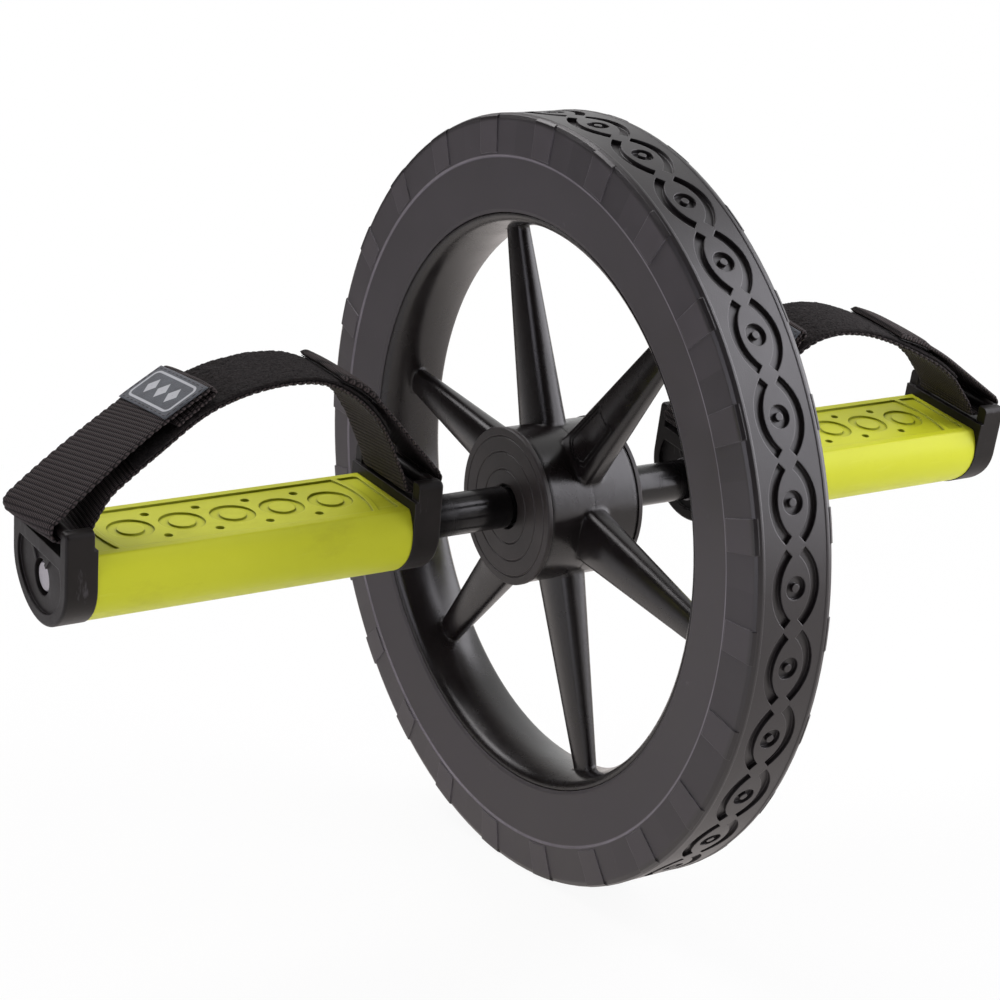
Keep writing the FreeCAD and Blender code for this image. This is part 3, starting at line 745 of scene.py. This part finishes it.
def unit(p, q):
    return (q - p) / abs(q - p)


def moved(point, along, reach, drop):
    return point + along * reach + 1j * along * drop


def outside(points, k, gap):
    a = unit(points[k - 1], points[k])
    turn = cmath.phase(unit(points[k], points[k + 1]) / a)
    return moved(points[k], a, -gap * math.tan(turn / 2), gap)


def fold_corner(side, point):
    centre = complex(side * fold_y, fold_floor + fold_radius)
    reach = complex(side * (centre.real - point.real), centre.imag - point.imag)
    turn = cmath.phase(reach) + math.asin(fold_radius / abs(reach))
    return complex(point.real + side * (fold_floor - point.imag) / math.tan(turn), fold_floor)


def tube_faces(rows, columns):
    # Quads of a closed tube of rows stations with columns points round each, with flat ends
    faces = []
    for i in range(rows - 1):
        for j in range(columns):
            k = (j + 1) % columns
            faces.append((i * columns + j, i * columns + k, (i + 1) * columns + k, (i + 1) * columns + j))
    faces.append(tuple(range(columns - 1, -1, -1)))
    faces.append(tuple(range((rows - 1) * columns, rows * columns)))
    return faces


def loop_shares(count):
    # Shares across a ribbon, over the top and back underneath, close together at its edges
    over = np.sin(np.linspace(-math.pi / 2, math.pi / 2, count))
    under = over[-2:0:-1]
    return np.concatenate([over, under]), np.concatenate([np.ones(count), -np.ones(count - 2)])


def round_edge(share, power, least=0):
    # Share of a ribbon's thickness, full in its middle and least at its edges
    return np.sqrt(np.clip(1 - np.abs(share) ** power, least, 1))


def strap_piece(route, name, points, faces, look, cloth=None):
    points = np.asarray(points).reshape(-1, 3)
    return piece(route.side + name, points, faces, look, route.side + "_pedal", cloth)


def make_strap(route, look):
    along = np.linspace(0, route.length, int(route.length / web_step))[:, None]
    share, face = loop_shares(web_columns)
    skew = along + share * strap_width / 2 * web_skew[route.side]
    valley = np.abs(np.cos(math.pi * skew / rib_pitch)) ** rib_power
    tip = round_edge(route.near_end(along, tail_round), 2, end_least)
    swell = tail_swell * np.clip(swell_ramp * route.near_end(along, tail_hem), 0, 1) * (face < 0)
    half = (strap_half - rib_depth * valley + swell) * round_edge(share, edge_power) * tip
    notch = scallop_depth * np.abs(np.cos(math.pi * along / scallop_pitch)) ** 2
    across = share * (strap_width / 2 - notch)
    points = route.place(along + 0 * across, across, face * half)
    cloth = np.stack([across, skew], -1).reshape(-1, 2)
    faces = tube_faces(len(along), len(share))
    made = strap_piece(route, "_webbing", points, faces, look, cloth)
    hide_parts(route.side + "_strap")
    return made


def make_pile(route, look):
    first, last = route.pile_span()
    base = strap_half + sewn_gap
    along = np.linspace(first, last, int((last - first) / pile_step))[:, None]
    over = np.linspace(-1, 1, int(tape_width / pile_step))
    share = np.concatenate([over, over[::-1]])
    top = np.concatenate([np.ones(len(over)), np.zeros(len(over))])
    shape = (len(along), len(share))
    rough = random.random(shape)
    tufts = random.random((shape[0] // pile_tuft + 2, shape[1] // pile_tuft + 2))
    rows, columns = (np.arange(count) // pile_tuft for count in shape)
    lump = tufts[rows[:, None], columns]
    even, edge, by_point, by_tuft = pile_shares
    rise = even + edge * round_edge(share, pile_power) + by_point * rough + by_tuft * lump
    across = share * tape_width / 2 + pile_stray * (random.random(shape) - 0.5)
    stray = along + pile_stray * (random.random(shape) - 0.5)
    points = route.place(stray, across, base + top * pile_height * rise)
    made = strap_piece(route, "_pile", points, tube_faces(*shape), look)
    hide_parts(route.side + "_loop_tape")
    return made


def make_hooks(route, look):
    last = route.length - tape_margin
    base = strap_half + sewn_gap
    along = np.linspace(last - hook_length, last, hook_rows)[:, None]
    share, face = loop_shares(hook_columns)
    height = base + hook_tape_half + hook_tape_half * face * round_edge(share, edge_power)
    across = share * tape_width / 2
    points = [route.place(along + 0 * across, across, height + 0 * along).reshape(-1, 3)]
    faces = tube_faces(len(along), len(share))
    count = len(points[0])
    pin = np.array([(-1, -1), (1, -1), (1, 1), (-1, 1)])
    for s in np.arange(last - hook_length + hook_margin, last - hook_ends[0], hook_pitch):
        for u in np.arange(-tape_width / 2 + hook_margin, tape_width / 2 - hook_ends[1], hook_pitch):
            for rise, size, lean in HOOK:
                spread, level = pin * size, np.full(len(pin), base + rise)
                points.append(route.place(s + lean + spread[:, 0], u + spread[:, 1], level))
            faces += [tuple(count + k for k in corners) for corners in tube_faces(len(HOOK), len(pin))]
            count += len(HOOK) * len(pin)
    made = strap_piece(route, "_hooks", np.concatenate(points), faces, look)
    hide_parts(route.side + "_hook_tape")
    return made


def make_label(route, look):
    along = np.linspace(0, label_length, label_rows)[:, None]
    share, face = loop_shares(label_columns)
    fold = round_edge(2 * along / label_length - 1, label_power, end_least)
    middle = -strap_half - sewn_gap - label_height / 2
    height = middle - face * label_height / 2 * round_edge(share, label_power) * fold
    across = share * tape_width / 2 + 0 * along
    points = route.place(route.label_start() + along + 0 * across, across, height)
    cloth = np.stack([across, along + 0 * across], -1).reshape(-1, 2)
    faces = [tuple(reversed(f)) for f in tube_faces(len(along), len(share))]
    made = strap_piece(route, "_tag", points, faces, look, cloth)
    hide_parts(route.side + "_label")
    return made


def grain():
    # Points and faces of one stitch of unit half sizes
    points = [(-1, 0, 0)]
    for x, size in STITCH:
        for k in range(stitch_sides):
            angle = k * 2 * math.pi / stitch_sides
            points.append((x, size * math.cos(angle), size * math.sin(angle)))
    points.append((1, 0, 0))
    faces = []
    end = len(points) - 1
    last = end - stitch_sides
    for k in range(stitch_sides):
        n = (k + 1) % stitch_sides
        faces.append((0, 1 + n, 1 + k))
        for ring in range(1, last, stitch_sides):
            faces.append((ring + k, ring + n, ring + stitch_sides + n, ring + stitch_sides + k))
        faces.append((last + k, last + n, end))
    return np.array(points), faces


def stitch_line(start, end):
    # Middles and headings of stitches between two points of the cloth
    start, end = np.array(start), np.array(end)
    span = np.linalg.norm(end - start)
    count = max(1, round(span / stitch_pitch))
    shares = (np.arange(count) + 0.5) / count
    return [(start + (end - start) * share, (end - start) / span) for share in shares]


def sewn_box(first, last, edge, height):
    # Four seams round a sewn patch, each as two points of the cloth and a height
    ends = [((first, -edge), (first, edge)), ((last, edge), (last, -edge))]
    sides = [((first, edge), (last, edge)), ((last, -edge), (first, -edge))]
    return [(*seam, height) for seam in ends + sides]


def make_stitches(route, look):
    unit_points, unit_faces = grain()
    size = np.array([stitch_length, stitch_width, stitch_height]) / 2
    edge = tape_width / 2 - label_seam
    tag = route.label_start()
    top = -strap_half - sewn_gap - label_height
    seams = sewn_box(tag + label_seam, tag + label_length - label_seam, edge, top)
    last = route.length - tape_margin - hook_seam
    seams += sewn_box(last - hook_length + 2 * hook_seam, last, edge, -strap_half)
    first, last = route.pile_span()
    for side in (-edge, edge):
        seams.append(((first + pile_seam, side), (last - pile_seam, side), -strap_half))
    points, faces = [], []
    for a, b, height in seams:
        for middle, heading in stitch_line(a, b):
            shape = unit_points * size
            along = middle[0] + shape[:, 0] * heading[0] - shape[:, 1] * heading[1]
            across = middle[1] + shape[:, 0] * heading[1] + shape[:, 1] * heading[0]
            count = len(points) * len(unit_points)
            points.append(route.place(along, across, height - shape[:, 2]))
            faces += [tuple(count + k for k in face) for face in unit_faces]
    return strap_piece(route, "_stitching", np.concatenate(points), faces, look)


def make_axle(look):
    near, far = groove_span
    half = [(near, axle_radius), (near, groove_radius), (far, groove_radius), (far, axle_radius)]
    half += [(axle_end - axle_chamfer, axle_radius), (axle_end, axle_radius - axle_chamfer)]
    stations = [(-y, radius) for y, radius in reversed(half)] + half
    turns = np.linspace(0, 2 * math.pi, axle_columns, endpoint=False)
    points = []
    for y, radius in stations:
        points += [(radius * math.cos(t) * MM, y * MM, -radius * math.sin(t) * MM) for t in turns]
    made = piece("axle_bar", points, tube_faces(len(stations), axle_columns), look, "axle")
    made.data.set_sharp_from_angle(angle=math.radians(sharp_angle))
    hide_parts("axle_rod")


def along_spoke(ends, radius):
    share = (radius - spoke_foot) / (spoke_tip - spoke_foot)
    return ends[0] + share * (ends[1] - ends[0])


def crown_half(radius):
    # Half width of the crown, out to where it runs into the spoke's rounded corners
    return along_spoke(spoke_halves, radius) - (1 - crown_sine) * along_spoke(spoke_rounds, radius)


def spoke_point(radius, across, lift, arm=0, face=-1):
    # Point over the crowned face of a spoke; arm 0 and face -1 are those that carry the plate
    cosine = math.sqrt(1 - crown_sine ** 2)
    half = crown_half(radius)
    bulge = crown_sine / cosine / 2 * (half - across ** 2 / half)
    drop = (1 - cosine) * along_spoke(spoke_rounds, radius)
    depth = along_spoke(spoke_depths, radius) + bulge - drop + lift
    turn = math.radians(spoke_angle) + arm * 2 * math.pi / spoke_count
    x = radius * math.cos(turn) - across * math.sin(turn)
    z = radius * math.sin(turn) + across * math.cos(turn)
    return (x * MM, face * depth * MM, z * MM)


def make_crowns(look):
    over = [(share, 0.0) for share in np.linspace(-1, 1, crown_columns)]
    loop = over + [(crown_foot, -crown_sink), (-crown_foot, -crown_sink)]
    points, faces = [], []
    for arm in range(spoke_count):
        for face in (-1, 1):
            start = len(points)
            for radius in np.linspace(spoke_foot, spoke_tip, crown_rows):
                half = crown_half(radius)
                points += [spoke_point(radius, share * half, lift, arm, face) for share, lift in loop]
            for corners in tube_faces(crown_rows, len(loop)):
                faces.append(tuple(start + corner for corner in corners[::face]))
    made = piece("spoke_crowns", points, faces, look, "wheel")
    made.data.set_sharp_from_angle(angle=math.radians(sharp_angle))


def plate_outline(inset):
    # Closed outline with its hub end bowed, as (radius, across) pairs
    inner, outer = plate_inner + inset, plate_outer - inset
    hub_half, rim_half = (half - inset for half in plate_halves)
    points = []
    for share in np.linspace(-1, 1, bow_points):
        bow = plate_bow * (1 - math.sqrt(1 - (bow_sine * share) ** 2)) / (1 - math.sqrt(1 - bow_sine ** 2))
        points.append((inner + bow - plate_bow, hub_half * share))
    corner = []
    for k in range(corner_points):
        turn = k * math.pi / 2 / (corner_points - 1)
        radius = outer - plate_corner + plate_corner * math.sin(turn)
        corner.append((radius, rim_half - plate_corner + plate_corner * math.cos(turn)))
    points += corner + [(radius, -across) for radius, across in reversed(corner)]
    return np.array(points)


def make_plate(look):
    points, faces = [], []
    for inset in (0.0, bead_inset):
        outline = plate_outline(inset)
        ahead = np.roll(outline, -1, 0) - np.roll(outline, 1, 0)
        ahead /= np.linalg.norm(ahead, axis=1)[:, None]
        count, round_it = len(points), len(BEAD)
        for (radius, across), (dr, da) in zip(outline, ahead):
            for share, rise in BEAD:
                reach = share * bead_width / 2
                points.append(spoke_point(radius - da * reach, across + dr * reach, rise * bead_height))
        stations = len(outline)
        for i in range(stations):
            n = (i + 1) % stations
            for j in range(round_it):
                k = (j + 1) % round_it
                faces.append((count + i * round_it + j, count + n * round_it + j,
                              count + n * round_it + k, count + i * round_it + k))
    piece("spoke_plate", points, faces, look, "wheel")


def direction(azimuth, rise):
    # Unit vector at a compass angle from -Y towards +X, and an angle above the floor
    azimuth, rise = math.radians(azimuth), math.radians(rise)
    return Vector((math.sin(azimuth) * math.cos(rise), -math.cos(azimuth) * math.cos(rise), math.sin(rise)))


def make_camera():
    data = bpy.data.cameras.new("camera")
    data.lens = camera_lens
    data.sensor_width = camera_sensor
    data.clip_start, data.clip_end = camera_clip
    made = bpy.data.objects.new("camera", data)
    bpy.context.scene.collection.objects.link(made)
    back = direction(camera_azimuth, camera_elevation)
    right = direction(camera_azimuth + 90, 0)
    turn = Matrix((right, back.cross(right), back)).transposed().to_4x4()
    made.matrix_world = Matrix.Translation(camera_place) @ turn
    bpy.context.scene.camera = made


def make_lamp(name, azimuth, rise, distance, size, radiance, tint):
    data = bpy.data.lights.new(name, "AREA")
    data.shape = "RECTANGLE"
    data.size, data.size_y = size
    data.energy = radiance * math.pi * size[0] * size[1]
    data.color = tint
    made = bpy.data.objects.new(name, data)
    bpy.context.scene.collection.objects.link(made)
    way = direction(azimuth, rise)
    made.location = way * distance
    made.rotation_mode = "QUATERNION"
    made.rotation_quaternion = way.to_track_quat("Z", "Y")
    made.visible_camera = False


def make_world():
    # White behind the object, as the camera sees it, and a dim room elsewhere
    world = bpy.data.worlds.new("studio")
    bpy.context.scene.world = world
    world.use_nodes = True
    sky = Nodes(world.node_tree)
    facing = sky.dot(sky.node("TexCoord").outputs["Generated"], direction(backdrop_azimuth, 0))
    backdrop = sky.remap(facing, *backdrop_edges, room_level, 1.0, interpolation_type="SMOOTHSTEP")
    camera, mirrored = sky.rays()
    level = sky.math("MAXIMUM", sky.math("MULTIPLY", mirrored, backdrop), camera)
    dim = sky.math("MULTIPLY", sky.math("SUBTRACT", 1.0, mirrored), ambient_level)
    level = sky.math("MAXIMUM", level, dim)
    colour = sky.mix(level, room_tint, WHITE)
    sky.set(sky.tree.nodes["Background"], {"Strength": level, "Color": colour})


def floor_look():
    # White to the camera and, behind the object, to mirrors; the shadow stays near the object
    tone = (floor_tone, floor_tone, floor_tone, 1)
    look = Look("floor", roughness=0.9, base_color=tone, specular_level=0.1)
    x, y = look.parts(look.place)[:2]
    far = look.remap(look.length(x, y), *shadow_reach, shadow_white, 1.0)
    camera, mirrored = look.rays()
    seen = look.math("MAXIMUM", camera, look.math("MULTIPLY", mirrored, look.remap(y, *white_from)))
    colour = look.mix(camera, room_tint, WHITE)
    white = look.node("Emission", {"Color": colour, "Strength": 1.0}).outputs[0]
    share = look.math("MULTIPLY", seen, far)
    both = look.node("MixShader", {0: share, 1: look.shader.outputs[0], 2: white}).outputs[0]
    look.set(look.tree.nodes["Material Output"], {"Surface": both})
    return look


def make_floor():
    turns = [2 * math.pi * k / floor_corners for k in range(floor_corners)]
    corners = [(floor_radius * math.cos(t), floor_radius * math.sin(t), cad_low.z) for t in turns]
    mesh = bpy.data.meshes.new("floor")
    mesh.from_pydata(corners, [], [tuple(range(floor_corners))])
    mesh.materials.append(floor_look().material)
    made = bpy.data.objects.new("floor", mesh)
    bpy.context.scene.collection.objects.link(made)


bpy.context.scene.view_settings.view_transform = "Standard"
make_camera()
for name, values in LAMPS.items():
    make_lamp(name, *values)
make_world()
make_floor()
wheel_plastic = wheel_look("wheel_plastic", wheel_softening * MM)
crown_plastic = wheel_look("crown_plastic", 0.0)
axle_steel = steel_look("axle_steel", srgb(188, 186, 184), srgb(120, 116, 112), 0.24)
dress_frame()
make_axle(axle_steel)
make_crowns(crown_plastic)
make_plate(wheel_plastic)
webbing = webbing_look()
pile_cloth = pile_look()
hook_plastic = plain_plastic_look("hook_plastic", srgb(26, 25, 27), srgb(38, 37, 39), 0.4)
label_cloth = label_look()
thread = thread_look()
for side in SIDES:
    route = Route(side)
    strap = make_strap(route, webbing)
    pile = make_pile(route, pile_cloth)
    hooks = make_hooks(route, hook_plastic)
    tag = make_label(route, label_cloth)
    seams = make_stitches(route, thread)
